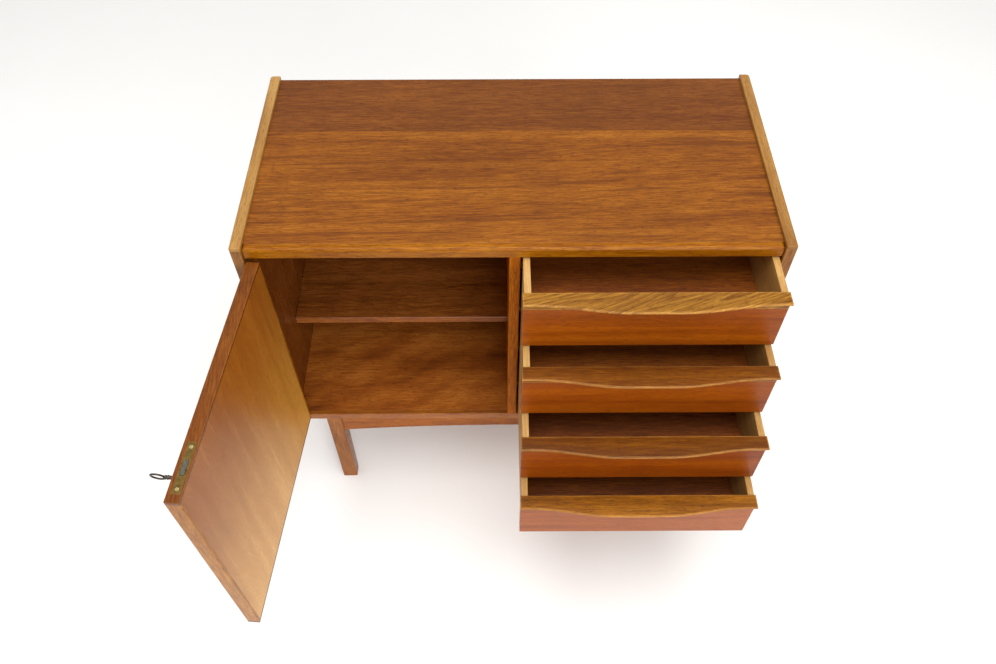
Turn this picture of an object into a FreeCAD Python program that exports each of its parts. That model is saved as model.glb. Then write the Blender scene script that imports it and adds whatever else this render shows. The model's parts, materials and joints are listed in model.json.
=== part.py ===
import FreeCAD, Part
import math
import os

# Sewing table: a small cabinet with a hinged door, a shelf and four drawers, on a frame of
# four legs. Lengths are in millimetres and angles in degrees. X runs to the right, Y to the
# back and Z up. Each piece is first built with the table closed, measured from the middle of
# the width, the front plane of the side panels and the floor. The door and the drawers are
# then opened to their rest places, and the whole table is moved to the middle of its own base.

vector = FreeCAD.Vector

# Carcass
total_width = 800.0
total_height = 720.0
carcass_depth = 390.0
base_height = 254.0
side_thickness = 16.0
top_drop = 6.0
top_thickness = 18.0
top_front = 3.0
top_lipping_depth = 12.0
top_back = 388.0
bottom_thickness = 16.0
bottom_front = 4.0
bottom_lipping_depth = 8.0
divider_thickness = 16.0
divider_left = -5.5
divider_front = 4.0
back_thickness = 5.0
back_front = 382.0
rebate_depth = 6.0
edge_radius = 1.5
fine_radius = 0.8
nosing_radius = 5.0
nosing_end_radius = 3.0
back_corner_radius = 5.0

# Shelf
shelf_top = 400.0
shelf_thickness = 15.0
shelf_front = 126.0
shelf_side_gap = 0.5
pin_radius = 2.5
pin_length = 18.0
pin_reach = 8.0
pin_places = (160.0, 345.0)

# Dowels between the boards
dowel_radius = 3.95
dowel_hole_radius = 4.0
dowel_length = 28.0
dowel_bite = 10.0
dowel_places = (60.0, 195.0, 330.0)

# Leg frame
leg_width = 28.0
leg_depth_top = 32.0
leg_depth_foot = 24.0
leg_taper_start = 174.0
leg_side_inset = 56.0
leg_front_inset = 20.0
leg_edge_radius = 2.0
apron_thickness = 20.0
apron_recess = 3.0
apron_height = 71.0
front_apron_rise = 15.5
side_apron_rise = 7.0
tenon_length = 12.0
tenon_thickness = 8.0
tenon_height = 46.0
tenon_from_top = 12.0
block_height = 20.0
block_leg = 60.0
base_screw_length = 30.0
base_screw_radius = 2.0
base_screw_head = 4.0

# Door and its lock
door_gap = 2.0
door_thickness = 19.0
door_front = 3.0
door_lipping = 5.0
door_open_angle = 95.0
lock_from_edge = 46.5
lock_depth_middle = 14.0
faceplate_length = 70.0
faceplate_width = 11.0
faceplate_thickness = 2.0
faceplate_screw_pitch = 57.0
case_length = 51.0
case_width = 9.0
case_height = 48.0
case_wall = 1.2
bolt_length = 21.0
bolt_thickness = 5.6
bolt_tail_length = 40.0
bolt_tail_height = 36.5
bolt_clearance = 0.3
bolt_throw = 7.0
strike_length = 50.0
strike_thickness = 1.5
strike_screw_pitch = 40.0
strike_pocket_height = 10.0

# Key
key_below_top = 30.0
key_radius = 2.5
key_bore_radius = 2.55
key_tilt = 12.0
key_full_turn = 180.0
key_bit_reach = 7.0
key_bit_length = 5.0
key_bit_thickness = 1.8
key_bow_height = 10.5
key_bow_length = 8.5
key_bow_wire = 1.5
key_bow_middle = -28.0
key_collar_radius = 4.0
bush_radius = 5.5

# Butt hinges
hinge_axis_y = 0.5
hinge_height = 60.0
hinge_from_edge = 80.0
knuckle_count = 5
knuckle_radius = 3.0
knuckle_clearance = 0.3
knuckle_gap = 0.3
hinge_pin_radius = 1.25
hinge_bore_radius = 1.3
leaf_thickness = 1.5
leaf_back = 17.5
hinge_screw_rows = (-20.0, 0.0, 20.0)

# Brass countersunk wood screws
screw_radius = 1.4
screw_head_radius = 2.6
screw_head_height = 1.3
screw_clearance = 0.05
screw_slot_width = 0.7
screw_slot_depth = 0.4
short_screw_length = 13.0

# Drawers, from the top one down
drawer_openings = (83.0, 134.0, 189.0, 234.0)
drawer_side_gap = 1.5
drawer_top_gap = 1.5
drawer_gap = 1.5
drawer_bottom_gap = 1.5
front_thickness = 14.0
front_face = 8.0
lip_height = 20.0
lip_depth_end = 23.0
lip_depth_middle = 36.5
lip_flat_share = 0.04
lip_swell_share = 0.37
lip_nose_radius = 2.0
cove_height_end = 12.0
cove_height_middle = 17.0
lip_stations = 17
box_side_gap = 3.5
box_side_thickness = 10.0
box_side_back = 372.0
box_side_bottom = 5.0
box_side_top = 1.0
box_tenon = 6.0
box_back_thickness = 10.0
box_back_from_end = 12.0
box_back_drop = 8.0
box_housing = 3.0
box_bottom_thickness = 4.0
box_bottom_up = 8.0
box_bottom_groove = 4.0
runner_reach = 7.5
runner_height = 10.0
runner_front = 34.0
runner_back = 376.0
runner_groove_depth = 4.5
runner_groove_height = 11.0
runner_groove_front = 30.0
drawer_travel = 300.0

# Places worked out from the sizes above
half_width = total_width / 2
inner_half = half_width - side_thickness
top_upper = total_height - top_drop
top_under = top_upper - top_thickness
bottom_upper = base_height + bottom_thickness
divider_right = divider_left + divider_thickness
door_left = -inner_half + door_gap
door_right = divider_left - door_gap - 0.5
door_low = bottom_upper + door_gap
door_high = top_under - door_gap
door_back = door_front + door_thickness
hinge_axis_x = -inner_half + door_gap / 2
lock_x = door_right - lock_from_edge
key_z = door_high - key_below_top
case_low = door_high - faceplate_thickness - case_height
faceplate_low = door_high - faceplate_thickness
front_left = divider_right + drawer_side_gap
front_right = inner_half - drawer_side_gap
front_back = front_face + front_thickness
box_left = divider_right + box_side_gap
box_right = inner_half - box_side_gap
opening_height = top_under - bottom_upper
drawer_count = len(drawer_openings)
front_height = (opening_height - drawer_top_gap - drawer_bottom_gap
                - (drawer_count - 1) * drawer_gap) / drawer_count
hinge_levels = (door_low + hinge_from_edge, door_high - hinge_from_edge)


def block(x0, x1, y0, y1, z0, z1):
    return Part.makeBox(x1 - x0, y1 - y0, z1 - z0, vector(x0, y0, z0))


def rod(radius, length, start, direction):
    return Part.makeCylinder(radius, length, start, direction)


def join(shapes):
    result = shapes[0]
    for shape in shapes[1:]:
        result = result.fuse(shape)
    return result.removeSplitter()


def group(shapes):
    return Part.makeCompound(shapes)


def prism(points, direction):
    return Part.Face(Part.makePolygon(points + points[:1])).extrude(direction)


def rounded(shape, radius, wanted):
    edges = [edge for edge in shape.Edges if wanted(edge.CenterOfMass, edge)]
    return shape.makeFillet(radius, edges)


def runs_along(edge, axis):
    box = edge.BoundBox
    sizes = {"x": box.XLength, "y": box.YLength, "z": box.ZLength}
    return sizes[axis] > 0.9 * edge.Length


# Screws

def wood_screw(head, direction, length, shank=screw_radius, head_radius=screw_head_radius,
               head_height=screw_head_height, slotted=True):
    cone = Part.makeCone(head_radius, shank, head_height, head, direction)
    screw = join([cone, rod(shank, length, head, direction)])
    if not slotted:
        return screw
    across = vector(0, 0, 1) if abs(direction.z) < 0.5 else vector(1, 0, 0)
    side = direction.cross(across)
    corner = head - across * head_radius - side * (screw_slot_width / 2)
    slot = Part.Face(Part.makePolygon([
        corner,
        corner + across * 2 * head_radius,
        corner + across * 2 * head_radius + side * screw_slot_width,
        corner + side * screw_slot_width,
        corner]))
    return screw.cut(slot.extrude(direction * screw_slot_depth))


def screw_hole(head, direction, length, shank=screw_radius, head_radius=screw_head_radius,
               head_height=screw_head_height):
    grown = screw_clearance
    cone = Part.makeCone(head_radius + grown, shank + grown, head_height + grown, head, direction)
    return cone.fuse(rod(shank + grown, length + 1, head, direction))


# Carcass

def dowel_rods(radius, length, bite):
    rods = []
    for level in (top_under + top_thickness / 2, base_height + bottom_thickness / 2):
        for y in dowel_places:
            for sign in (-1, 1):
                start = vector(sign * (inner_half + bite), y, level)
                rods.append(rod(radius, length, start, vector(-sign, 0, 0)))
    middle = (divider_left + divider_right) / 2
    for y in dowel_places:
        rods.append(rod(radius, length, vector(middle, y, top_under + bite), vector(0, 0, -1)))
        rods.append(rod(radius, length, vector(middle, y, bottom_upper - bite), vector(0, 0, 1)))
    return rods


def carcass_dowels():
    return group(dowel_rods(dowel_radius, dowel_length, dowel_bite))


def dowel_holes():
    return group(dowel_rods(dowel_hole_radius, dowel_length + 2, dowel_bite + 1))


def pin_centres():
    return [(x, y) for x in (-inner_half, divider_left) for y in pin_places]


def pin_start(x):
    depth = pin_length - pin_reach
    return x - depth if x == -inner_half else x + depth


def pin_rods(radius, length_more):
    rods = []
    for x, y in pin_centres():
        inward = 1 if x == -inner_half else -1
        start = vector(pin_start(x) - inward * length_more, y,
                       shelf_top - shelf_thickness - pin_radius)
        rods.append(rod(radius, pin_length + length_more, start, vector(inward, 0, 0)))
    return rods


def shelf_pins():
    return group(pin_rods(pin_radius, 0))


def pin_holes():
    return group(pin_rods(pin_radius + screw_clearance, 1))


def side_panel(sign):
    x0, x1 = sorted((sign * inner_half, sign * half_width))
    panel = block(x0, x1, 0, carcass_depth, base_height, total_height)

    def outer_back(centre, edge):
        outside = abs(centre.x) > half_width - 0.1
        return outside and centre.y > carcass_depth - 0.1 and runs_along(edge, "z")

    def top_and_front(centre, edge):
        return centre.z > total_height - 0.1 or (centre.y < 0.1 and runs_along(edge, "z"))

    panel = rounded(panel, back_corner_radius, outer_back)
    panel = rounded(panel, edge_radius, top_and_front)
    rebate_x = sorted((sign * inner_half, sign * (inner_half + rebate_depth)))
    panel = panel.cut(block(rebate_x[0], rebate_x[1], back_front, carcass_depth,
                            base_height, top_under))
    panel = panel.cut(dowel_holes())
    if sign < 0:
        panel = panel.cut(pin_holes())
        for level in hinge_levels:
            panel = panel.cut(hinge_recess(level, -1))
            panel = panel.cut(hinge_screw_holes(level, -1))
    return panel


def top_panel():
    panel = block(-inner_half, inner_half, top_front + top_lipping_depth, top_back,
                  top_under, top_upper)
    panel = rounded(panel, edge_radius, lambda c, e: c.y > top_back - 0.1 and c.z > top_upper - 0.1)
    return panel.cut(dowel_holes()).cut(strike_space())


def top_front_lipping():
    back = top_front + top_lipping_depth
    strip = block(-inner_half, inner_half, top_front, back, top_under, top_upper)
    strip = rounded(strip, nosing_end_radius, lambda c, e: c.y < top_front + 0.1 and runs_along(e, "z"))
    strip = rounded(strip, nosing_radius, lambda c, e: c.y < top_front + 0.1 and c.z > top_upper - 0.1)
    strip = rounded(strip, edge_radius, lambda c, e: c.y < top_front + 0.1 and c.z < top_under + 0.1)
    return strip.cut(strike_space())


def bottom_panel():
    panel = block(-inner_half, inner_half, bottom_front + bottom_lipping_depth, back_front,
                  base_height, bottom_upper)
    return panel.cut(dowel_holes()).cut(base_screw_holes())


def bottom_front_lipping():
    back = bottom_front + bottom_lipping_depth
    strip = block(-inner_half, inner_half, bottom_front, back, base_height, bottom_upper)
    return rounded(strip, edge_radius, lambda c, e: c.y < bottom_front + 0.1 and runs_along(e, "x"))


def divider_panel():
    panel = block(divider_left, divider_right, divider_front, back_front, bottom_upper, top_under)
    panel = rounded(panel, edge_radius,
                    lambda c, e: c.y < divider_front + 0.1 and runs_along(e, "z"))
    return panel.cut(dowel_holes()).cut(pin_holes())


def back_panel():
    reach = inner_half + rebate_depth
    return block(-reach, reach, back_front, back_front + back_thickness, base_height, top_under)


def shelf():
    board = block(-inner_half + shelf_side_gap, divider_left - shelf_side_gap, shelf_front,
                  back_front - shelf_side_gap, shelf_top - shelf_thickness, shelf_top)
    return rounded(board, edge_radius, lambda c, e: c.y < shelf_front + 0.1 and runs_along(e, "x"))


def runner_level(number):
    high = front_top(number) - box_side_top
    low = front_top(number) - front_height + box_side_bottom
    return (high + low) / 2


def drawer_runners():
    strips = []
    for number in range(drawer_count):
        low = runner_level(number) - runner_height / 2
        high = low + runner_height
        strips.append(block(divider_right, divider_right + runner_reach,
                            runner_front, runner_back, low, high))
        strips.append(block(inner_half - runner_reach, inner_half,
                            runner_front, runner_back, low, high))
    return group(strips)


# Leg frame

def leg(side, end):
    depths = ((0, 0), (0, base_height), (leg_depth_top, base_height),
              (leg_depth_top, leg_taper_start), (leg_depth_foot, 0))
    x0 = sorted((side * (half_width - leg_side_inset), side * (half_width - leg_side_inset - leg_width)))[0]
    points = []
    for depth, z in depths:
        y = leg_front_inset + depth
        points.append(vector(x0, y if end < 0 else carcass_depth - y, z))
    post = prism(points, vector(leg_width, 0, 0))
    post = rounded(post, leg_edge_radius, lambda c, e: 1 < c.z < base_height - 1 and not runs_along(e, "x"))
    return post.cut(apron_mortises())


def apron(length, rise):
    # Upright board in X and Z, centred on X with its top at zero, arched along its lower edge.
    half = length / 2
    corners = (vector(-half, 0, -apron_height), vector(-half, 0, 0),
               vector(half, 0, 0), vector(half, 0, -apron_height))
    arch = Part.Arc(corners[3], vector(0, 0, rise - apron_height), corners[0]).toShape()
    sides = [Part.makeLine(corners[i], corners[i + 1]) for i in range(3)]
    board = Part.Face(Part.Wire(sides + [arch])).extrude(vector(0, apron_thickness, 0))
    return board.fuse(apron_tenons(length, 0))


def apron_tenons(length, grown):
    middle = apron_thickness / 2
    tenons = []
    for sign in (-1, 1):
        x0, x1 = sorted((sign * length / 2, sign * (length / 2 + tenon_length + grown)))
        tenons.append(block(x0, x1, middle - tenon_thickness / 2 - grown,
                            middle + tenon_thickness / 2 + grown,
                            -tenon_from_top - tenon_height - grown, -tenon_from_top + grown))
    return join(tenons)


def front_length():
    return 2 * (half_width - leg_side_inset - leg_width)


def side_length():
    return carcass_depth - 2 * (leg_front_inset + leg_depth_top)


def placed_long(shape, end):
    inset = leg_front_inset + apron_recess
    y = inset if end < 0 else carcass_depth - inset - apron_thickness
    return shape.translated(vector(0, y, base_height))


def placed_side(shape, side):
    turned = shape.copy()
    turned.rotate(vector(0, 0, 0), vector(0, 0, 1), 90)
    inset = half_width - leg_side_inset - apron_recess
    x = -inset + apron_thickness if side < 0 else inset
    return turned.translated(vector(x, carcass_depth / 2, base_height))


def long_apron(end):
    return placed_long(apron(front_length(), front_apron_rise), end)


def side_apron(side):
    return placed_side(apron(side_length(), side_apron_rise), side)


def apron_mortises():
    return group([placed_long(apron_tenons(front_length(), screw_clearance), end) for end in (-1, 1)]
                 + [placed_side(apron_tenons(side_length(), screw_clearance), side) for side in (-1, 1)])


def corner_block_points(side, end):
    leg_x = half_width - leg_side_inset - leg_width
    apron_x = half_width - leg_side_inset - apron_recess - apron_thickness
    leg_y = leg_front_inset + leg_depth_top
    apron_y = leg_front_inset + apron_recess + apron_thickness
    outline = ((leg_x, apron_y), (leg_x - block_leg, apron_y), (apron_x, apron_y + block_leg + 5),
               (apron_x, leg_y), (leg_x, leg_y))
    low = base_height - block_height
    return [vector(side * x, y if end < 0 else carcass_depth - y, low) for x, y in outline]


def corner_blocks():
    corners = [(side, end) for side in (-1, 1) for end in (-1, 1)]
    blocks = [prism(corner_block_points(side, end), vector(0, 0, block_height))
              for side, end in corners]
    return group([piece.cut(base_screw_holes()) for piece in blocks])


def base_screw_heads():
    leg_x = half_width - leg_side_inset - leg_width
    apron_y = leg_front_inset + apron_recess + apron_thickness
    places = ((leg_x - 30, apron_y + 12), (leg_x - 11, apron_y + 32))
    low = base_height - block_height
    return [vector(side * x, y if end < 0 else carcass_depth - y, low)
            for side in (-1, 1) for end in (-1, 1) for x, y in places]


def base_screws():
    return group([wood_screw(head, vector(0, 0, 1), base_screw_length, base_screw_radius,
                             base_screw_head, 2.0) for head in base_screw_heads()])


def base_screw_holes():
    return group([screw_hole(head, vector(0, 0, 1), base_screw_length, base_screw_radius,
                             base_screw_head, 2.0) for head in base_screw_heads()])


# Door

def lock_mortise():
    case = block(lock_x - case_length / 2, lock_x + case_length / 2,
                 lock_depth_middle - case_width / 2, lock_depth_middle + case_width / 2,
                 case_low, faceplate_low)
    plate = block(lock_x - faceplate_length / 2, lock_x + faceplate_length / 2,
                  lock_depth_middle - faceplate_width / 2, lock_depth_middle + faceplate_width / 2,
                  faceplate_low, door_high)
    holes = [screw_hole(head, vector(0, 0, -1), short_screw_length) for head in faceplate_screw_heads()]
    return group([case, plate] + holes)


def keyhole_slot(y0, y1):
    width = key_bit_thickness + 0.6
    return block(lock_x - width / 2, lock_x + width / 2, y0, y1,
                 key_z - key_bit_reach - 0.6, key_z)


def keyhole():
    start = vector(lock_x, door_front - 1, key_z)
    reach = lock_depth_middle - case_width / 2 - door_front + 1
    return group([rod(bush_radius, reach, start, vector(0, 1, 0)),
                  keyhole_slot(door_front - 1, lock_depth_middle - case_width / 2)])


def door_cuts(shape):
    shape = shape.cut(lock_mortise()).cut(keyhole())
    for level in hinge_levels:
        shape = shape.cut(hinge_recess(level, 1))
        shape = shape.cut(hinge_screw_holes(level, 1))
    return shape


def door_panel():
    core = block(door_left + door_lipping, door_right - door_lipping, door_front, door_back,
                 door_low + door_lipping, door_high - door_lipping)
    return door_cuts(core)


def door_lippings():
    left, right = door_left, door_right
    low, high, strip = door_low, door_high, door_lipping
    strips = [block(left, right, door_front, door_back, high - strip, high),
              block(left, right, door_front, door_back, low, low + strip),
              block(left, left + strip, door_front, door_back, low + strip, high - strip),
              block(right - strip, right, door_front, door_back, low + strip, high - strip)]
    return group([door_cuts(rounded(piece, fine_radius, on_door_arris)) for piece in strips])


def on_door_arris(centre, edge):
    limits = ((centre.x, door_left, door_right), (centre.y, door_front, door_back),
              (centre.z, door_low, door_high))
    return sum(min(abs(value - low), abs(value - high)) < 0.1 for value, low, high in limits) == 2


def bolt_slot(y_grown, x_grown, z0, z1):
    half = bolt_length / 2 + x_grown
    return block(lock_x - half, lock_x + half,
                 lock_depth_middle - bolt_thickness / 2 - y_grown,
                 lock_depth_middle + bolt_thickness / 2 + y_grown, z0, z1)


def faceplate_screw_heads():
    return [vector(lock_x + sign * faceplate_screw_pitch / 2, lock_depth_middle, door_high)
            for sign in (-1, 1)]


def lock_faceplate():
    plate = block(lock_x - faceplate_length / 2, lock_x + faceplate_length / 2,
                  lock_depth_middle - faceplate_width / 2, lock_depth_middle + faceplate_width / 2,
                  faceplate_low, door_high)
    slot = bolt_slot(bolt_clearance, bolt_clearance, faceplate_low, door_high)
    slot = rounded(slot, 2.0, lambda c, e: runs_along(e, "z"))
    holes = [screw_hole(head, vector(0, 0, -1), short_screw_length) for head in faceplate_screw_heads()]
    return plate.cut(slot).cut(group(holes))


def lock_case():
    half_length = case_length / 2
    half_width_case = case_width / 2
    shell = block(lock_x - half_length, lock_x + half_length, lock_depth_middle - half_width_case,
                  lock_depth_middle + half_width_case, case_low, faceplate_low)
    hollow = block(lock_x - half_length + case_wall, lock_x + half_length - case_wall,
                   lock_depth_middle - half_width_case + case_wall,
                   lock_depth_middle + half_width_case - case_wall,
                   case_low + case_wall, faceplate_low - case_wall)
    front = lock_depth_middle - half_width_case
    opening = rod(key_bore_radius, case_wall + 1, vector(lock_x, front - 0.5, key_z), vector(0, 1, 0))
    shell = shell.cut(hollow).cut(opening)
    shell = shell.cut(keyhole_slot(front, front + case_wall))
    return shell.cut(bolt_slot(bolt_clearance, bolt_clearance, faceplate_low - case_wall, faceplate_low))


def lock_bolt():
    half_tail = bolt_tail_length / 2
    tail_low = case_low + case_wall + 1.3
    front = lock_depth_middle - bolt_thickness / 2
    head = bolt_slot(0, 0, tail_low, door_high)
    head = rounded(head, 1.7, lambda c, e: runs_along(e, "z"))
    tail = block(lock_x - half_tail, lock_x + half_tail, front, front + bolt_thickness,
                 tail_low, tail_low + bolt_tail_height)
    radius = key_bit_reach + 0.4
    window = join([rod(radius, bolt_thickness, vector(lock_x, front, key_z), vector(0, 1, 0)),
                   block(lock_x - radius, lock_x + radius, front, front + bolt_thickness,
                         key_z - bolt_throw, key_z),
                   rod(radius, bolt_thickness, vector(lock_x, front, key_z - bolt_throw),
                       vector(0, 1, 0))])
    resting = bolt_throw * key_tilt / key_full_turn
    return tail.fuse(head).cut(window).removeSplitter().translated(vector(0, 0, resting))


def keyhole_bush():
    reach = lock_depth_middle - case_width / 2 - door_front
    start = vector(lock_x, door_front, key_z)
    ring = rod(bush_radius, reach, start, vector(0, 1, 0))
    ring = ring.cut(rod(key_bore_radius, reach, start, vector(0, 1, 0)))
    return ring.cut(keyhole_slot(door_front, door_front + reach))


def key():
    tip = lock_depth_middle + case_width / 2 - case_wall - bolt_clearance
    bow_end = key_bow_middle + key_bow_length
    shank = rod(key_radius, tip - bow_end, vector(lock_x, bow_end, key_z), vector(0, 1, 0))
    collar = rod(key_collar_radius, 3.0, vector(lock_x, door_front - 3.3, key_z), vector(0, 1, 0))
    bit_start = tip - 0.5 - key_bit_length
    bit = block(lock_x - key_bit_thickness / 2, lock_x + key_bit_thickness / 2, bit_start,
                bit_start + key_bit_length, key_z - key_bit_reach, key_z)
    centre = vector(lock_x, key_bow_middle, key_z)
    oval = Part.Ellipse(centre + vector(0, 0, key_bow_height), centre + vector(0, key_bow_length, 0),
                        centre)
    path = Part.Wire(oval.toShape())
    start = path.Edges[0].valueAt(path.Edges[0].FirstParameter)
    along = path.Edges[0].tangentAt(path.Edges[0].FirstParameter)
    ring = Part.Wire(Part.makeCircle(key_bow_wire, start, along))
    bow = path.makePipeShell([ring], True, False)
    whole = join([bow, shank, collar, bit])
    whole.rotate(centre, vector(0, 1, 0), key_tilt)
    return whole


# Strike plate in the underside of the top

def strike_screw_heads():
    return [vector(lock_x + sign * strike_screw_pitch / 2, lock_depth_middle, top_under)
            for sign in (-1, 1)]


def strike_block(z1):
    return block(lock_x - strike_length / 2, lock_x + strike_length / 2,
                 lock_depth_middle - faceplate_width / 2, lock_depth_middle + faceplate_width / 2,
                 top_under, z1)


def strike_space():
    holes = [screw_hole(head, vector(0, 0, 1), short_screw_length) for head in strike_screw_heads()]
    return group([strike_block(top_under + strike_thickness),
                  bolt_slot(0.7, 1.0, top_under, top_under + strike_pocket_height)] + holes)


def lock_strike_plate():
    holes = [screw_hole(head, vector(0, 0, 1), short_screw_length) for head in strike_screw_heads()]
    plate = strike_block(top_under + strike_thickness)
    return plate.cut(bolt_slot(0.7, 1.0, top_under, top_under + strike_thickness)).cut(group(holes))


# Hinges: side is -1 on the cabinet and 1 on the door

def leaf_edges(side):
    face = hinge_axis_x + side * door_gap / 2
    return sorted((face, face + side * leaf_thickness))


def leaf_plate(level, side, front):
    x0, x1 = leaf_edges(side)
    return block(x0, x1, front, leaf_back, level - hinge_height / 2, level + hinge_height / 2)


def hinge_recess(level, side):
    barrel = rod(knuckle_radius + knuckle_clearance, hinge_height + 4,
                 vector(hinge_axis_x, hinge_axis_y, level - hinge_height / 2 - 2), vector(0, 0, 1))
    return barrel.fuse(leaf_plate(level, side, hinge_axis_y))


def hinge_leaf(level, side):
    plate_front = hinge_axis_y + knuckle_radius + knuckle_clearance
    pieces = [leaf_plate(level, side, plate_front)]
    pitch = hinge_height / knuckle_count
    x0, x1 = leaf_edges(side)
    for number in range(knuckle_count):
        if (number % 2 == 0) != (side < 0):
            continue
        low = level - hinge_height / 2 + number * pitch + knuckle_gap / 2
        height = pitch - knuckle_gap
        start = vector(hinge_axis_x, hinge_axis_y, low)
        pieces.append(rod(knuckle_radius, height, start, vector(0, 0, 1)))
        pieces.append(block(x0, x1, hinge_axis_y, plate_front, low, low + height))
    bore = rod(hinge_bore_radius, hinge_height, vector(hinge_axis_x, hinge_axis_y, level - hinge_height / 2),
               vector(0, 0, 1))
    return join(pieces).cut(bore).cut(hinge_screw_holes(level, side))


def hinge_screw_heads(level, side):
    x = hinge_axis_x + side * door_gap / 2
    y = (hinge_axis_y + knuckle_radius + leaf_back) / 2
    return [vector(x, y, level + row) for row in hinge_screw_rows]


def hinge_screw_holes(level, side):
    return group([screw_hole(head, vector(side, 0, 0), short_screw_length)
                  for head in hinge_screw_heads(level, side)])


def hinge_screws(side):
    return [wood_screw(head, vector(side, 0, 0), short_screw_length)
            for level in hinge_levels for head in hinge_screw_heads(level, side)]


def hinge_pins():
    pins = []
    for level in hinge_levels:
        low = level - hinge_height / 2
        pin = rod(hinge_pin_radius, hinge_height, vector(hinge_axis_x, hinge_axis_y, low), vector(0, 0, 1))
        heads = [rod(knuckle_radius - 0.4, 1.2, vector(hinge_axis_x, hinge_axis_y, z), vector(0, 0, 1))
                 for z in (low - 1.2 + knuckle_gap / 2, low + hinge_height - knuckle_gap / 2)]
        pins.append(join([pin] + heads))
    return group(pins)


# Drawers, built closed

def front_top(number):
    return top_under - drawer_top_gap - number * (front_height + drawer_gap)


def bell(share):
    # Zero along the flat ends, rising smoothly to one over the middle part of the lip.
    inside = (min(share, 1 - share) - lip_flat_share) / lip_swell_share
    return (1 - math.cos(math.pi * min(max(inside, 0.0), 1.0))) / 2


def lip_section(x, share, top):
    swell = bell(share)
    depth = lip_depth_end + (lip_depth_middle - lip_depth_end) * swell
    cove = cove_height_end + (cove_height_middle - cove_height_end) * swell
    nose = front_back - depth

    def point(y, drop):
        return vector(x, y, top - drop)

    upper = point(nose + lip_nose_radius, 0)
    lower = point(nose + lip_nose_radius, 2 * lip_nose_radius)
    foot = point(front_face, cove)
    chord = foot - lower
    hollow = (lower + foot) * 0.5 + vector(0, -chord.z, chord.y) * 0.18
    edges = [Part.makeLine(point(front_back, 0), upper),
             Part.Arc(upper, point(nose, lip_nose_radius), lower).toShape(),
             Part.Arc(lower, hollow, foot).toShape(),
             Part.makeLine(foot, point(front_face, lip_height)),
             Part.makeLine(point(front_face, lip_height), point(front_back, lip_height)),
             Part.makeLine(point(front_back, lip_height), point(front_back, 0))]
    return Part.Wire(edges)


def pull_lip(number):
    top = front_top(number)
    sections = []
    for station in range(lip_stations):
        share = station / (lip_stations - 1)
        sections.append(lip_section(front_left + share * (front_right - front_left), share, top))
    return Part.makeLoft(sections, True, False)


def side_heights(number):
    top = front_top(number)
    return top - front_height + box_side_bottom, top - box_side_top


def bottom_heights(number):
    low = side_heights(number)[0] + box_bottom_up
    return low, low + box_bottom_thickness


def side_blank(number, sign):
    low, high = side_heights(number)
    outer = box_left if sign < 0 else box_right
    x0, x1 = sorted((outer, outer - sign * box_side_thickness))
    body = block(x0, x1, front_back, box_side_back, low, high)
    tenon = block(x0, x1, front_back - box_tenon, front_back, low, front_top(number) - lip_height)
    return join([body, tenon])


def bottom_sheet(number):
    low, high = bottom_heights(number)
    reach = box_side_thickness - box_bottom_groove
    return block(box_left + reach, box_right - reach, front_back - box_bottom_groove,
                 box_side_back, low, high)


def back_board(number):
    high = side_heights(number)[1] - box_back_drop
    reach = box_side_thickness - box_housing
    y1 = box_side_back - box_back_from_end
    return block(box_left + reach, box_right - reach, y1 - box_back_thickness, y1,
                 bottom_heights(number)[1], high)


def drawer_front(number):
    top = front_top(number)
    board = block(front_left, front_right, front_face, front_back, top - front_height, top - lip_height)
    board = rounded(board, fine_radius, lambda c, e: c.y < front_face + 0.1 and c.z < top - lip_height - 1)
    for sign in (-1, 1):
        board = board.cut(side_blank(number, sign))
    return board.cut(bottom_sheet(number))


def drawer_side(number, sign):
    outer = box_left if sign < 0 else box_right
    x0, x1 = sorted((outer, outer - sign * runner_groove_depth))
    middle = runner_level(number)
    groove = block(x0, x1, runner_groove_front, box_side_back,
                   middle - runner_groove_height / 2, middle + runner_groove_height / 2)
    high = side_heights(number)[1]
    side = rounded(side_blank(number, sign), fine_radius,
                   lambda c, e: c.z > high - 0.1 and runs_along(e, "y"))
    side = side.cut(groove)
    return side.cut(bottom_sheet(number)).cut(back_board(number))


def drawer_nodes(number):
    name = "drawer_%d" % (number + 1)
    return {
        name + "_front": drawer_front(number),
        name + "_pull_lip": pull_lip(number),
        name + "_left_side": drawer_side(number, -1),
        name + "_right_side": drawer_side(number, 1),
        name + "_back": back_board(number),
        name + "_bottom": bottom_sheet(number),
    }


# Rest places: the door stands open and each drawer is pulled out by its own amount

def opened_door(shape):
    turned = shape.copy()
    turned.rotate(vector(hinge_axis_x, hinge_axis_y, 0), vector(0, 0, 1), -door_open_angle)
    return turned


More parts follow.
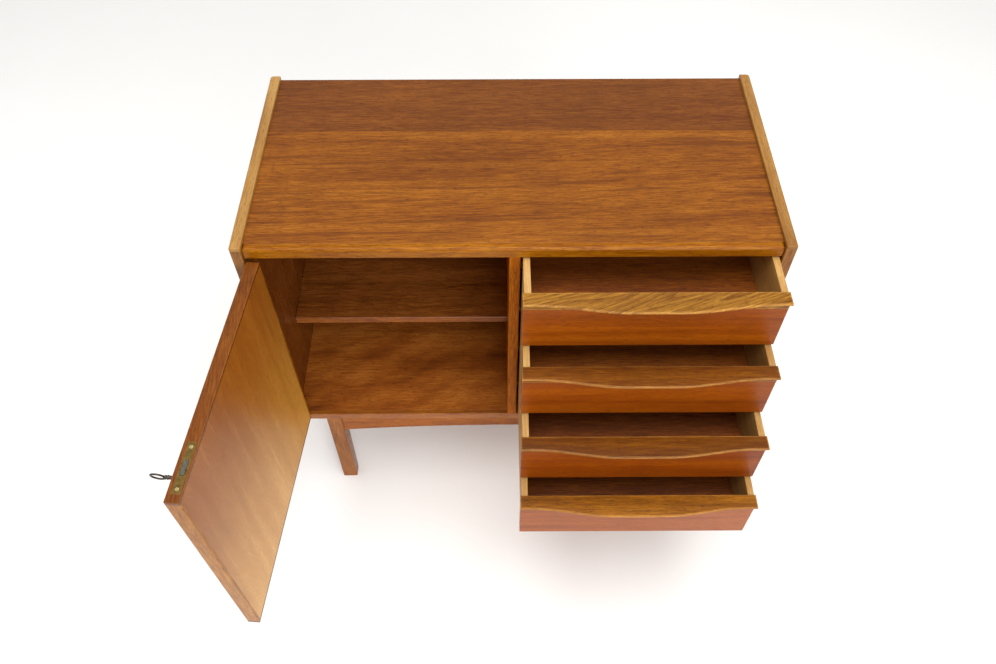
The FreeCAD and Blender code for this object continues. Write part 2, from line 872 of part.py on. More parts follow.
def all_nodes():
    nodes = {
        "side_panel_left": side_panel(-1),
        "side_panel_right": side_panel(1),
        "top_panel": top_panel(),
        "top_front_lipping": top_front_lipping(),
        "bottom_panel": bottom_panel(),
        "bottom_front_lipping": bottom_front_lipping(),
        "divider_panel": divider_panel(),
        "back_panel": back_panel(),
        "shelf": shelf(),
        "shelf_pins": shelf_pins(),
        "drawer_runners": drawer_runners(),
        "carcass_dowels": carcass_dowels(),
        "lock_strike_plate": lock_strike_plate(),
        "cabinet_brass_screws": group(
            hinge_screws(-1) + [wood_screw(head, vector(0, 0, 1), short_screw_length)
                                for head in strike_screw_heads()]),
        "hinge_cabinet_leaves": group([hinge_leaf(level, -1) for level in hinge_levels]),
        "hinge_pins": hinge_pins(),
        "front_left_leg": leg(-1, -1),
        "front_right_leg": leg(1, -1),
        "back_left_leg": leg(-1, 1),
        "back_right_leg": leg(1, 1),
        "front_apron": long_apron(-1),
        "back_apron": long_apron(1),
        "left_apron": side_apron(-1),
        "right_apron": side_apron(1),
        "corner_blocks": corner_blocks(),
        "base_screws": base_screws(),
    }
    on_door = {
        "door_panel": door_panel(),
        "door_lippings": door_lippings(),
        "lock_case": lock_case(),
        "lock_faceplate": lock_faceplate(),
        "lock_bolt": lock_bolt(),
        "keyhole_bush": keyhole_bush(),
        "key": key(),
        "door_brass_screws": group(
            hinge_screws(1) + [wood_screw(head, vector(0, 0, -1), short_screw_length)
                               for head in faceplate_screw_heads()]),
        "hinge_door_leaves": group([hinge_leaf(level, 1) for level in hinge_levels]),
    }
    for name, shape in on_door.items():
        nodes[name] = opened_door(shape)
    for number, opening in enumerate(drawer_openings):
        for name, shape in drawer_nodes(number).items():
            nodes[name] = shape.translated(vector(0, -opening, 0))
    return nodes


def base_middle(nodes):
    box = FreeCAD.BoundBox()
    for shape in nodes.values():
        box.add(shape.optimalBoundingBox(False))
    return vector(box.Center.x, box.Center.y, box.ZMin)


nodes = all_nodes()
shift = base_middle(nodes) * -1
os.makedirs("parts", exist_ok=True)
for name, shape in nodes.items():
    shape.translated(shift).exportStep("parts/%s.step" % name)
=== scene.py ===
import bpy
import json
import math
from mathutils import Matrix, Vector


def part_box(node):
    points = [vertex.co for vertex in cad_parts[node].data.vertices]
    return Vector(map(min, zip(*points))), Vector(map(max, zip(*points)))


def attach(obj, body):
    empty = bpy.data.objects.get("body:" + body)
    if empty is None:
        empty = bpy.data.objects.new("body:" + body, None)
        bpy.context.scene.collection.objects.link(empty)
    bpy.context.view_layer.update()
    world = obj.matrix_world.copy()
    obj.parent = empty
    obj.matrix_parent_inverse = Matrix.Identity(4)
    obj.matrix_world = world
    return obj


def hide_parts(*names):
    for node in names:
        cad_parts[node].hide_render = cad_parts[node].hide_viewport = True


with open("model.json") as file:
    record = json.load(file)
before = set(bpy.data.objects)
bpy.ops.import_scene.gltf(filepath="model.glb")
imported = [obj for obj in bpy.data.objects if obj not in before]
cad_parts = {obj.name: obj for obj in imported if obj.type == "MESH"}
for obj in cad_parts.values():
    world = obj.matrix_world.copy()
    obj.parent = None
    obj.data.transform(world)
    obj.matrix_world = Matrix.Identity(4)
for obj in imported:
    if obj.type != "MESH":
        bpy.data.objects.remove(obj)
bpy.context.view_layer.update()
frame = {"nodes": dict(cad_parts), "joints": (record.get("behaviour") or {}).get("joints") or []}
nodes = frame["nodes"]
bpy.ops.object.select_all(action="DESELECT")
mm = 0.001
print("frame loaded:", len(nodes), "nodes")


# Helpers

def linearColour(hexText):
    # sRGB hex to the linear values that the shaders use
    parts = [int(hexText[i:i + 2], 16) / 255 for i in (1, 3, 5)]
    return tuple(c / 12.92 if c <= 0.04045 else ((c + 0.055) / 1.055) ** 2.4 for c in parts) + (1.0,)


def addNode(tree, kind, settings=None, values=None, links=None):
    node = tree.nodes.new(kind)
    for name, value in (settings or {}).items():
        setattr(node, name, value)
    for socket, value in (values or {}).items():
        node.inputs[socket].default_value = value
    for socket, source in (links or {}).items():
        tree.links.new(source, node.inputs[socket])
    return node


def newMaterial(name):
    material = bpy.data.materials.new(name)
    material.use_nodes = True
    material.node_tree.nodes.clear()
    return material, material.node_tree


def paint(names, material):
    for name in names:
        piece = nodes[name]
        piece.data.materials.clear()
        piece.data.materials.append(material)


# Camera, standing in front of the table and looking down into it

leftLow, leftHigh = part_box("side_panel_left")
rightLow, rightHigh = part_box("side_panel_right")
cameraStand = {"right": -23.9 * mm, "forward": -812.8 * mm, "height": 1609 * mm,
               "down": 53.175, "turn": -0.129, "roll": -0.149, "lens": 30.94}
camera = bpy.data.cameras.new("camera")
camera.lens = cameraStand["lens"]
camera.sensor_width = 36
cameraObject = bpy.data.objects.new("camera", camera)
bpy.context.scene.collection.objects.link(cameraObject)
turned = (Matrix.Rotation(math.radians(cameraStand["turn"]), 3, "Z")
          @ Matrix.Rotation(math.radians(90 - cameraStand["down"]), 3, "X")
          @ Matrix.Rotation(math.radians(cameraStand["roll"]), 3, "Z"))
cameraObject.rotation_euler = turned.to_euler()
cameraObject.location = ((leftLow.x + rightHigh.x) / 2 + cameraStand["right"],
                         leftLow.y + cameraStand["forward"], cameraStand["height"])
bpy.context.scene.camera = cameraObject


# Soft studio light and a pale floor

studio = {"skyStrength": 0.6, "sky": "#ffffff", "overheadPower": 70, "overheadSize": 2.6,
          "overheadPlace": (0.1, -0.2, 3.0), "overheadAim": (0.0, 0.1, 0.3),
          "frontPower": 66, "frontSize": 1.8, "frontPlace": (0.9, -3.0, 2.0), "frontAim": (0.0, -0.1, 0.3),
          "floor": "#fbfaf8", "floorSize": 14}
world = bpy.data.worlds.new("studio")
world.use_nodes = True
background = world.node_tree.nodes["Background"]
background.inputs["Color"].default_value = linearColour(studio["sky"])
background.inputs["Strength"].default_value = studio["skyStrength"]
bpy.context.scene.world = world
bpy.context.scene.view_settings.view_transform = "Standard"

for name in ("overhead", "front"):
    light = bpy.data.lights.new(name, "AREA")
    light.shape = "DISK"
    light.size = studio[name + "Size"]
    light.energy = studio[name + "Power"]
    lamp = bpy.data.objects.new(name, light)
    lamp.location = studio[name + "Place"]
    aim = Vector(studio[name + "Aim"]) - Vector(studio[name + "Place"])
    lamp.rotation_euler = aim.to_track_quat("-Z", "Y").to_euler()
    bpy.context.scene.collection.objects.link(lamp)

bpy.ops.mesh.primitive_plane_add(size=studio["floorSize"], location=(0, 0, -0.0006))
floor = bpy.context.object
floor.name = "floor"
paper, tree = newMaterial("paper_floor_matt")
place = addNode(tree, "ShaderNodeTexCoord")
mottle = addNode(tree, "ShaderNodeTexNoise", {}, {"Scale": 3.0, "Detail": 2.0}, {"Vector": place.outputs["Object"]})
tint = addNode(tree, "ShaderNodeMix", {"data_type": "RGBA"},
               {6: linearColour("#f8f6f3"), 7: linearColour(studio["floor"])}, {0: mottle.outputs["Fac"]})
shader = addNode(tree, "ShaderNodeBsdfPrincipled", {}, {"Roughness": 0.85, "Specular IOR Level": 0.2},
                 {"Base Color": tint.outputs[2]})
addNode(tree, "ShaderNodeOutputMaterial", {}, {}, {"Surface": shader.outputs["BSDF"]})
floor.data.materials.append(paper)
bpy.ops.object.select_all(action="DESELECT")
print("stage done")


# Wood. Teak has straight to wavy bands of growth rings, short dark pores and long fibres.
# Real fibres are about 0.3 mm wide and pores 0.2 mm; both are drawn coarser here so that they show.

teak = {"grain": "x", "tilt": (0, 0, 0), "offset": (0, 0, 0),
        "dark": "#6b3512", "mid": "#94551f", "light": "#b8762f", "pore": "#4a210a",
        "bandWidth": 46, "bandLength": 900, "bandShare": 0.25,
        "ringWidth": 75, "ringLength": 1000, "rings": 7, "ringShare": 0.1,
        "fibreWidth": 1.4, "fibreLength": 32, "fibreShare": 0.85,
        "poreWidth": 1.4, "poreLength": 9, "poreDark": 0.5, "poreFrom": 0.57,
        "blotch": "#7a3f1c", "blotchSize": 170, "blotchShare": 0.25,
        "wave": 6, "waveLength": 380,
        # Edge colour along the arrises: wear together with a painted highlight
        "worn": "#d09048", "wornShare": 0.45, "wornRadius": 1.2,
        "streakWidth": 8, "streakLength": 260, "streakShare": 0.22, "streakFrom": 0.58,
        "flameTurn": 30, "flameWidth": 34, "flameLength": 130, "flameShare": 0,
        "roughness": 0.28, "sheen": 0.5, "bump": 0.25}
# Shares that hold for every wood: how far the bands are weighed up, how softly pores and streaks begin, where on
# the colour ramp the dark, middle and light shades stand, and how sharp an arris has to be to take the light edge
# colour
bandWeight = 1.6
onset = 0.12
shadePlaces = {"dark": 0.15, "mid": 0.5, "light": 0.85}
rubbedAndHighlitFrom, rubbedAndHighlitFull = 0.998, 0.92

grainTurns = {"x": (0, 0, 0), "y": (0, 0, -90), "z": (0, 90, 0)}


def grainSpace(tree, wood):
    # Turned so that X runs along the grain, then bent a little from side to side
    place = addNode(tree, "ShaderNodeTexCoord")
    shifted = addNode(tree, "ShaderNodeVectorMath", {"operation": "ADD"}, {1: wood["offset"]},
                      {0: place.outputs["Object"]})
    along = addNode(tree, "ShaderNodeMapping", {},
                    {"Rotation": [math.radians(a) for a in grainTurns[wood["grain"]]]},
                    {"Vector": shifted.outputs[0]})
    tilted = addNode(tree, "ShaderNodeMapping", {}, {"Rotation": [math.radians(a) for a in wood["tilt"]]},
                     {"Vector": along.outputs[0]})
    bend = addNode(tree, "ShaderNodeTexNoise", {}, {"Scale": 1 / (wood["waveLength"] * mm), "Detail": 1.0},
                   {"Vector": tilted.outputs[0]})
    push = addNode(tree, "ShaderNodeMapRange", {},
                   {"To Min": -wood["wave"] * mm, "To Max": wood["wave"] * mm}, {"Value": bend.outputs["Fac"]})
    sideways = addNode(tree, "ShaderNodeCombineXYZ", {}, {}, {"Y": push.outputs[0], "Z": push.outputs[0]})
    bent = addNode(tree, "ShaderNodeVectorMath", {"operation": "ADD"}, {},
                   {0: tilted.outputs[0], 1: sideways.outputs[0]})
    return place, bent.outputs[0]


def stretched(tree, space, width, length, detail=2.0, roughness=0.5):
    # Noise drawn out along the grain: width and length in millimetres
    pull = addNode(tree, "ShaderNodeVectorMath", {"operation": "MULTIPLY"}, {1: (width / length, 1, 1)}, {0: space})
    noise = addNode(tree, "ShaderNodeTexNoise", {},
                    {"Scale": 1 / (width * mm), "Detail": detail, "Roughness": roughness},
                    {"Vector": pull.outputs[0]})
    return noise.outputs["Fac"]


def weighed(tree, value, share, before=None):
    # Adds share * (value - 0.5) to what came before
    scaled = addNode(tree, "ShaderNodeMath", {"operation": "MULTIPLY_ADD"},
                     {1: share * 2, 2: 0.5 - share}, {0: value})
    if before is None:
        return scaled.outputs[0]
    scaled.inputs[2].default_value = -share
    total = addNode(tree, "ShaderNodeMath", {"operation": "ADD"}, {}, {0: before, 1: scaled.outputs[0]})
    return total.outputs[0]


def woodSurface(tree, wood):
    # The colour and the height of bare wood
    place, space = grainSpace(tree, wood)
    bands = stretched(tree, space, wood["bandWidth"], wood["bandLength"], 2.0, 0.55)
    field = stretched(tree, space, wood["ringWidth"], wood["ringLength"], 1.0, 0.4)
    counted = addNode(tree, "ShaderNodeMath", {"operation": "MULTIPLY"}, {1: wood["rings"]}, {0: field})
    ring = addNode(tree, "ShaderNodeMath", {"operation": "FRACT"}, {}, {0: counted.outputs[0]})
    # Each ring darkens slowly and then ends sharply
    profile = addNode(tree, "ShaderNodeValToRGB", {}, {}, {"Fac": ring.outputs[0]})
    profile.color_ramp.elements[0].color = (0.75, 0.75, 0.75, 1)
    profile.color_ramp.elements[1].position = 0.86
    profile.color_ramp.elements[1].color = (0.15, 0.15, 0.15, 1)
    last = profile.color_ramp.elements.new(1.0)
    last.color = (0.75, 0.75, 0.75, 1)
    fibres = stretched(tree, space, wood["fibreWidth"], wood["fibreLength"], 3.0, 0.6)
    pores = stretched(tree, space, wood["poreWidth"], wood["poreLength"], 1.0, 0.5)
    tone = weighed(tree, bands, wood["bandShare"] * bandWeight)
    tone = weighed(tree, profile.outputs["Color"], wood["ringShare"], tone)
    tone = weighed(tree, fibres, wood["fibreShare"], tone)
    if wood["flameShare"]:
        # Soft light and dark figure lying across the grain
        across = addNode(tree, "ShaderNodeMapping", {}, {"Rotation": (0, 0, math.radians(-wood["flameTurn"]))},
                         {"Vector": space})
        flame = stretched(tree, across.outputs[0], wood["flameWidth"], wood["flameLength"], 1.0, 0.4)
        tone = weighed(tree, flame, wood["flameShare"], tone)
    ramp = addNode(tree, "ShaderNodeValToRGB", {}, {}, {"Fac": tone})
    ramp.color_ramp.elements[0].position = shadePlaces["dark"]
    ramp.color_ramp.elements[0].color = linearColour(wood["dark"])
    ramp.color_ramp.elements[1].position = shadePlaces["light"]
    ramp.color_ramp.elements[1].color = linearColour(wood["light"])
    middle = ramp.color_ramp.elements.new(shadePlaces["mid"])
    middle.color = linearColour(wood["mid"])
    poreShare = addNode(tree, "ShaderNodeMapRange", {},
                        {"From Min": wood["poreFrom"], "From Max": wood["poreFrom"] + onset,
                         "To Max": wood["poreDark"]}, {"Value": pores})
    dotted = addNode(tree, "ShaderNodeMix", {"data_type": "RGBA"}, {7: linearColour(wood["pore"])},
                     {0: poreShare.outputs[0], 6: ramp.outputs["Color"]})
    patches = addNode(tree, "ShaderNodeTexNoise", {},
                      {"Scale": 1 / (wood["blotchSize"] * mm), "Detail": 3.0, "Roughness": 0.55},
                      {"Vector": space})
    patchShare = addNode(tree, "ShaderNodeMapRange", {},
                         {"From Min": 0.45, "From Max": 0.72, "To Max": wood["blotchShare"]},
                         {"Value": patches.outputs["Fac"]})
    patched = addNode(tree, "ShaderNodeMix", {"data_type": "RGBA", "blend_type": "MULTIPLY"},
                      {7: linearColour(wood["blotch"])}, {0: patchShare.outputs[0], 6: dotted.outputs[2]})
    # A few dark mineral streaks
    streaks = stretched(tree, space, wood["streakWidth"], wood["streakLength"], 2.0, 0.5)
    streakShare = addNode(tree, "ShaderNodeMapRange", {},
                          {"From Min": wood["streakFrom"], "From Max": wood["streakFrom"] + onset,
                           "To Max": wood["streakShare"]}, {"Value": streaks})
    streaked = addNode(tree, "ShaderNodeMix", {"data_type": "RGBA"}, {7: linearColour(wood["pore"])},
                       {0: streakShare.outputs[0], 6: patched.outputs[2]})
    # Pores are small pits; fibres stand up a little
    pits = addNode(tree, "ShaderNodeMath", {"operation": "MULTIPLY_ADD"}, {1: -1.2},
                   {0: poreShare.outputs[0], 2: fibres})
    return place, streaked.outputs[2], pits.outputs[0], tone


def finishWood(tree, wood, colour, height, tone):
    # Arrises are lighter, worn and painted as a highlight: the bevel's normal leaves the true one only near an arris
    soft = addNode(tree, "ShaderNodeBevel", {"samples": 4}, {"Radius": wood["wornRadius"] * mm})
    surface = addNode(tree, "ShaderNodeNewGeometry")
    agree = addNode(tree, "ShaderNodeVectorMath", {"operation": "DOT_PRODUCT"}, {},
                    {0: soft.outputs[0], 1: surface.outputs["Normal"]})
    edge = addNode(tree, "ShaderNodeMapRange", {},
                   {"From Min": rubbedAndHighlitFrom, "From Max": rubbedAndHighlitFull, "To Max": wood["wornShare"]},
                   {"Value": agree.outputs["Value"]})
    rubbed = addNode(tree, "ShaderNodeMath", {"operation": "MULTIPLY"}, {}, {0: edge.outputs[0], 1: tone})
    worn = addNode(tree, "ShaderNodeMix", {"data_type": "RGBA"}, {7: linearColour(wood["worn"])},
                   {0: rubbed.outputs[0], 6: colour})
    gloss = addNode(tree, "ShaderNodeMapRange", {},
                    {"From Min": 0.2, "From Max": 0.8, "To Min": wood["roughness"] + 0.07,
                     "To Max": wood["roughness"] - 0.05}, {"Value": tone})
    bump = addNode(tree, "ShaderNodeBump", {}, {"Strength": wood["bump"], "Distance": 0.0004},
                   {"Height": height, "Normal": soft.outputs[0]})
    shader = addNode(tree, "ShaderNodeBsdfPrincipled", {}, {"IOR": 1.5, "Specular IOR Level": wood["sheen"]},
                     {"Base Color": worn.outputs[2], "Roughness": gloss.outputs[0], "Normal": bump.outputs[0]})
    addNode(tree, "ShaderNodeOutputMaterial", {}, {}, {"Surface": shader.outputs["BSDF"]})


def woodMaterial(name, **changes):
    wood = {**teak, **changes}
    material, tree = newMaterial(name)
    place, colour, height, tone = woodSurface(tree, wood)
    finishWood(tree, wood, colour, height, tone)
    return material


# Table top: two leaves of oiled teak veneer, satin, the back one redder and duller, with a solid nosing in front

topLow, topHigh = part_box("top_panel")
topLook = {"seam": 0.352, "seamWidth": 0.8,
           "front": {"dark": "#643007", "mid": "#80470a", "light": "#975b18", "pore": "#491f05",
                     "bandWidth": 30, "bandLength": 600, "offset": (0.31, 0.12, 0.4), "tilt": (0, 0, -1.5),
                     "streakShare": 0.45, "streakFrom": 0.55},
           "back": {"dark": "#542608", "mid": "#6a380c", "light": "#7e4816", "pore": "#3f1b08",
                    "bandWidth": 34, "bandLength": 800, "offset": (2.7, 1.1, 0.2)}}
topVeneer, tree = newMaterial("teak_veneer_top_oiled")
frontWood = {**teak, **topLook["front"]}
backWood = {**teak, **topLook["back"]}
place, frontColour, frontHeight, frontTone = woodSurface(tree, frontWood)
_, backColour, backHeight, backTone = woodSurface(tree, backWood)
parts = addNode(tree, "ShaderNodeSeparateXYZ", {}, {}, {"Vector": place.outputs["Object"]})
seamY = topHigh.y - topLook["seam"] * (topHigh.y - topLow.y)
isBack = addNode(tree, "ShaderNodeMath", {"operation": "GREATER_THAN"}, {1: seamY}, {0: parts.outputs["Y"]})
colour = addNode(tree, "ShaderNodeMix", {"data_type": "RGBA"}, {},
                 {0: isBack.outputs[0], 6: frontColour, 7: backColour})
height = addNode(tree, "ShaderNodeMix", {"data_type": "FLOAT"}, {},
                 {0: isBack.outputs[0], 2: frontHeight, 3: backHeight})
tone = addNode(tree, "ShaderNodeMix", {"data_type": "FLOAT"}, {},
               {0: isBack.outputs[0], 2: frontTone, 3: backTone})
# The joint between the leaves shows as a hair line
onSeam = addNode(tree, "ShaderNodeMath", {"operation": "COMPARE"},
                 {1: seamY, 2: topLook["seamWidth"] * mm}, {0: parts.outputs["Y"]})
seamShare = addNode(tree, "ShaderNodeMath", {"operation": "MULTIPLY"}, {1: 0.35}, {0: onSeam.outputs[0]})
seamed = addNode(tree, "ShaderNodeMix", {"data_type": "RGBA"}, {7: linearColour("#3c1a08")},
                 {0: seamShare.outputs[0], 6: colour.outputs[2]})
finishWood(tree, {**teak, "sheen": 0.2}, seamed.outputs[2], height.outputs[0], tone.outputs[0])
paint(["top_panel"], topVeneer)
# The nosing's light arris is wear together with a painted highlight
nosingLook = {"dark": "#673202", "mid": "#844906", "light": "#9d610c", "pore": "#502301", "offset": (0.9, 0.3, 0.6),
              "wornShare": 0.5, "worn": "#d69a48", "wornRadius": 2.0, "sheen": 0.12}
paint(["top_front_lipping"], woodMaterial("teak_nosing_solid_oiled", **nosingLook))
print("top done")


# Side panels: oiled veneer with the grain upright, edged with solid teak that has faded on the top and front

sideLook = {"lipping": 6 * mm,
            "board": {"grain": "z", "dark": "#5f2d0b", "mid": "#824617", "light": "#9d6124",
                       "bandWidth": 60, "bandLength": 1200},
            "top": {"grain": "y", "dark": "#7c5125", "mid": "#986c36", "light": "#ad864d", "pore": "#6f4720",
                    "fibreShare": 0.4, "bandShare": 0.35},
            "front": {"grain": "z", "dark": "#6f4119", "mid": "#8b5b28", "light": "#a2733b", "pore": "#613916"}}


def lippedMaterial(name, look, edges, offset, sheen):
    # A board of one wood with edges of another: each edge is a part, a test, an axis and a limit along it
    material, tree = newMaterial(name)
    place, colour, height, tone = woodSurface(tree, {**teak, **look["board"], "offset": offset})
    parts = addNode(tree, "ShaderNodeSeparateXYZ", {}, {}, {"Vector": place.outputs["Object"]})
    for part, test, axis, limit in edges:
        _, edgeColour, _, _ = woodSurface(tree, {**teak, **look[part], "offset": offset})
        inside = addNode(tree, "ShaderNodeMath", {"operation": test}, {1: limit}, {0: parts.outputs[axis]})
        mixed = addNode(tree, "ShaderNodeMix", {"data_type": "RGBA"}, {},
                        {0: inside.outputs[0], 6: colour, 7: edgeColour})
        colour = mixed.outputs[2]
    finishWood(tree, {**teak, "sheen": sheen}, colour, height, tone)
    return material


for name, offset in (("side_panel_left", (0.2, 0.5, 0.1)), ("side_panel_right", (1.4, 0.2, 0.7))):
    low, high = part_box(name)
    sideEdges = (("front", "LESS_THAN", "Y", low.y + sideLook["lipping"]),
                 ("top", "GREATER_THAN", "Z", high.z - sideLook["lipping"]))
    paint([name], lippedMaterial("teak_" + name + "_oiled", sideLook, sideEdges, offset, 0.15))


# Boards inside the carcass: oiled teak veneer, satin and warm, with a soft figure across the grain of the
# bottom, and a matt gaboon plywood back

carcassLook = {
    "bottom_panel": ("teak_veneer_bottom_oiled", {
        "dark": "#6b3410", "mid": "#98531b", "light": "#bf762e", "bandShare": 0.2, "ringShare": 0.05,
        "fibreShare": 0.5, "flameShare": 0.3, "sheen": 0.3, "offset": (0.5, 0.9, 0.3)}),
    "bottom_front_lipping": ("teak_lipping_bottom_solid", {
        "dark": "#7d410d", "mid": "#9a5916", "light": "#b17021", "offset": (1.5, 0.2, 0.8),
        "wornShare": 0.7, "worn": "#dcb476", "sheen": 0.3}),
    "divider_panel": ("teak_veneer_divider_oiled", {
        "grain": "z", "dark": "#7b3902", "mid": "#a45704", "light": "#c07007",
        "offset": (0.1, 0.4, 0.9), "sheen": 0.04}),
    "shelf": ("teak_veneer_shelf_oiled", {
        "dark": "#67330f", "mid": "#8d4f1b", "light": "#b16c2e", "offset": (2.2, 0.6, 0.4),
        "wornShare": 0.7, "worn": "#b07a45"}),
    "back_panel": ("gaboon_plywood_back_matt", {
        "grain": "z", "dark": "#603210", "mid": "#82491a", "light": "#9e6227",
        "roughness": 0.6, "sheen": 0.2, "bandWidth": 80, "offset": (0.7, 0.1, 0.5)})}
for name, (title, look) in carcassLook.items():
    paint([name], woodMaterial(title, **look))
print("carcass done")


# Door: straight-grained veneer, upright inside and out, the inner face painted paler toward the foot as light
# thrown up by the floor, with mitred solid edges

doorTurn = -5  # the grain's sideways direction follows the open door
doorLow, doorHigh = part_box("door_lippings")
doorWood = {**teak, "grain": "z", "offset": (0.2, 0.8, 0.3), "pore": "#855018",
            "bandWidth": 24, "bandLength": 800, "bandShare": 0.16, "ringShare": 0.06, "fibreShare": 0.4,
            "poreDark": 0.3, "blotchShare": 0.1, "streakShare": 0.08, "roughness": 0.28, "sheen": 0.28}
# Painted light: darker at the top and paler at the foot, for the light that the floor throws onto the inner face
doorShades = {"upper": {"dark": "#79410f", "mid": "#905215", "light": "#a66622"},
              "lower": {"dark": "#b67c30", "mid": "#d0963c", "light": "#e2b156"},
              "outer": {"dark": "#6e3307", "mid": "#8b450c", "light": "#a25612", "pore": "#5a260c",
                        "bandShare": 0.25, "fibreShare": 0.5}}
doorVeneer, tree = newMaterial("teak_veneer_door_oiled")
place, upperColour, height, tone = woodSurface(tree, {**doorWood, **doorShades["upper"]})
_, lowerColour, _, _ = woodSurface(tree, {**doorWood, **doorShades["lower"]})
parts = addNode(tree, "ShaderNodeSeparateXYZ", {}, {}, {"Vector": place.outputs["Object"]})
# Painted floor light: the paler share grows smoothly from just below the top to beyond the foot
paintedFloorLight = addNode(tree, "ShaderNodeMapRange", {"interpolation_type": "SMOOTHSTEP"},
                {"From Min": doorHigh.z - 0.02, "From Max": doorLow.z - 0.06}, {"Value": parts.outputs["Z"]})
inner = addNode(tree, "ShaderNodeMix", {"data_type": "RGBA"}, {},
                {0: paintedFloorLight.outputs[0], 6: upperColour, 7: lowerColour})
# The outer face, on the left while the door stands open, has the colour of the drawer fronts
_, outerColour, _, _ = woodSurface(tree, {**doorWood, **doorShades["outer"]})
facing = addNode(tree, "ShaderNodeSeparateXYZ", {}, {}, {"Vector": place.outputs["Normal"]})
isOuter = addNode(tree, "ShaderNodeMath", {"operation": "LESS_THAN"}, {1: -0.5}, {0: facing.outputs["X"]})
colour = addNode(tree, "ShaderNodeMix", {"data_type": "RGBA"}, {},
                 {0: isOuter.outputs[0], 6: inner.outputs[2], 7: outerColour})
finishWood(tree, doorWood, colour.outputs[2], height, tone)
paint(["door_panel"], doorVeneer)
doorLook = {"lipping": 6 * mm,
            "board": {"grain": "z", "dark": "#83460a", "mid": "#9e6210", "light": "#b47a1f"},
            "across": {"grain": "y", "tilt": (0, 0, doorTurn), "dark": "#582706", "mid": "#6d390a",
                       "light": "#804a13"}}
doorEdges = (("across", "GREATER_THAN", "Z", doorHigh.z - doorLook["lipping"]),
             ("across", "LESS_THAN", "Z", doorLow.z + doorLook["lipping"]))
paint(["door_lippings"], lippedMaterial("teak_lipping_door_solid", doorLook, doorEdges, (0.3, 0.1, 0.8), 0.18))


# Drawers: oiled veneer fronts, bowed solid lips worn and painted with a highlight along the nose, waxed beech
# sides that stay matt and pale, and bare gaboon bottoms

drawerLook = {
    # The top lip is cut slantwise from the plank, so its rings run across it
    1: {"grain": {"tilt": (0, 0, -22), "rings": 22, "ringShare": 0.25, "ringWidth": 55, "ringLength": 420,
                  "fibreShare": 0.5},
        "sheen": 0.12, "front": ("#713303", "#8d4307", "#a5570d"), "lip": ("#59320b", "#83551c", "#a3752a")},
    2: {"sheen": 0.12, "front": ("#6e2f03", "#8a4007", "#9e520c"), "lip": ("#4d2406", "#6d3b0c", "#8a5416")},
    3: {"sheen": 0.12, "front": ("#692c03", "#823a06", "#994e0b"), "lip": ("#421e03", "#5d2f06", "#79460f")},
    4: {"sheen": 0.2, "front": ("#7a3605", "#954a09", "#ad6012"), "lip": ("#5c3308", "#824d0f", "#a46a1c")}}
straightGrain = {"fibreShare": 0.6}
for number, look in drawerLook.items():
    name = f"drawer_{number}_"
    dark, mid, light = look["front"]
    paint([name + "front"], woodMaterial(
        f"teak_veneer_front_{number}_oiled", dark=dark, mid=mid, light=light, pore="#5a260c",
        bandWidth=18, bandLength=500, bandShare=0.25, ringShare=0.08, fibreShare=0.4,
        sheen=look["sheen"], offset=(number * 0.77, number * 0.31, 0.2), blotchShare=0.15))
    dark, mid, light = look["lip"]
    # The lips' bright nose line is a painted highlight along the arris as well as wear
    paint([name + "pull_lip"], woodMaterial(
        f"teak_lip_{number}_solid", dark=dark, mid=mid, light=light, pore="#3f200b",
        offset=(number * 0.43, number * 0.57, number * 0.2), wornShare=1.3, worn="#e0a250",
        wornRadius=3, sheen=0.12, **{**straightGrain, **look.get("grain", {})}))
    paint([name + "left_side", name + "right_side"], woodMaterial(
        f"beech_drawer_side_{number}_waxed", grain="y", dark="#a37538", mid="#b68a48", light="#c7a162",
        pore="#93652b", poreDark=0.4, poreLength=6, bandShare=0.3, ringShare=0.1, roughness=0.55,
        offset=(0.2, number * 0.4, number * 0.3), blotch="#c89a5c", worn="#ecd09a"))
    paint([name + "back", name + "bottom"], woodMaterial(
        f"gaboon_drawer_{number}_matt", dark="#78390b", mid="#9e5111", light="#bf6c1c", roughness=0.62,
        offset=(number * 0.6, 0.3, 0.2), bandShare=0.35))
print("door and drawers done")


# Leg frame: solid oiled teak with arrises lightened by wear and painted highlight,
# and bare beech blocks and dowels behind

legLook = {"grain": "z", "dark": "#6f3c0c", "mid": "#8f5217", "light": "#a86b24", "bandWidth": 20, "bandLength": 500,
           "wornShare": 0.6, "sheen": 0.2}
apronLook = {"dark": "#703304", "mid": "#8f4c0a", "light": "#ab6111", "bandWidth": 26, "bandLength": 500,
             "wornShare": 0.5, "sheen": 0.15, "offset": (0.4, 0.6, 0.1)}
for step, name in enumerate(("front_left_leg", "front_right_leg", "back_left_leg", "back_right_leg")):
    paint([name], woodMaterial("teak_" + name + "_solid", **{**legLook, "offset": (0.3 * step, 0.2, 0.5 * step)}))
for name, grain in (("front_apron", "x"), ("back_apron", "x"), ("left_apron", "y"), ("right_apron", "y")):
    paint([name], woodMaterial("teak_" + name + "_solid", **{**apronLook, "grain": grain}))
paleBeech = woodMaterial("beech_blocks_bare", grain="y", dark="#b48a55", mid="#cba571", light="#dfc193",
                         pore="#a07544", poreDark=0.35, poreLength=5, ringShare=0.1, bandShare=0.3,
                         roughness=0.7, blotchShare=0.0, worn="#e8d0a6", offset=(0.1, 0.4, 0.2))
paint(["corner_blocks", "drawer_runners", "carcass_dowels", "shelf_pins"], paleBeech)
print("leg frame done")


# Metal fittings

